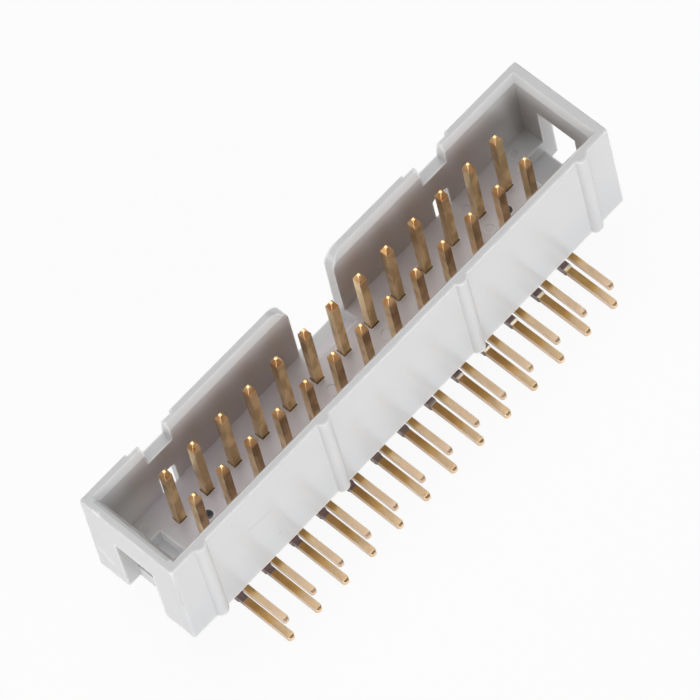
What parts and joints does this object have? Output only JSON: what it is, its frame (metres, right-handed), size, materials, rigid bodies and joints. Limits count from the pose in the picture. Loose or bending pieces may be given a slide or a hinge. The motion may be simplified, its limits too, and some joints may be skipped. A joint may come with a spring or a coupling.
{
  "type": "right-angle box header",
  "caption": "Right-angle shrouded pin header with a keyed box housing, rim notches, end slots and plated square contacts bent back to board tails.",
  "frame": {"origin": "middle of the contact grid, on the flat underside of the housing", "axes": "+X along the rows from contact 1 to contact 13, +Y from the ribbed board-side wall to the key wall, +Z the way the posts point and the cable socket is pulled off"},
  "size_m": [0.0402, 0.0116, 0.0128],
  "materials": {
    "housing_plastic": "satin light grey moulding",
    "contact_metal": "thin bright gold plating over drawn square wire"
  },
  "bodies": {
    "root": {"housing": "housing_plastic", "contact_front_01": "contact_metal", "contact_key_01": "contact_metal", "contact_front_02": "contact_metal", "contact_key_02": "contact_metal", "contact_front_03": "contact_metal", "contact_key_03": "contact_metal", "contact_front_04": "contact_metal", "contact_key_04": "contact_metal", "contact_front_05": "contact_metal", "contact_key_05": "contact_metal", "contact_front_06": "contact_metal", "contact_key_06": "contact_metal", "contact_front_07": "contact_metal", "contact_key_07": "contact_metal", "contact_front_08": "contact_metal", "contact_key_08": "contact_metal", "contact_front_09": "contact_metal", "contact_key_09": "contact_metal", "contact_front_10": "contact_metal", "contact_key_10": "contact_metal", "contact_front_11": "contact_metal", "contact_key_11": "contact_metal", "contact_front_12": "contact_metal", "contact_key_12": "contact_metal", "contact_front_13": "contact_metal", "contact_key_13": "contact_metal"}
  },
  "joints": []
}
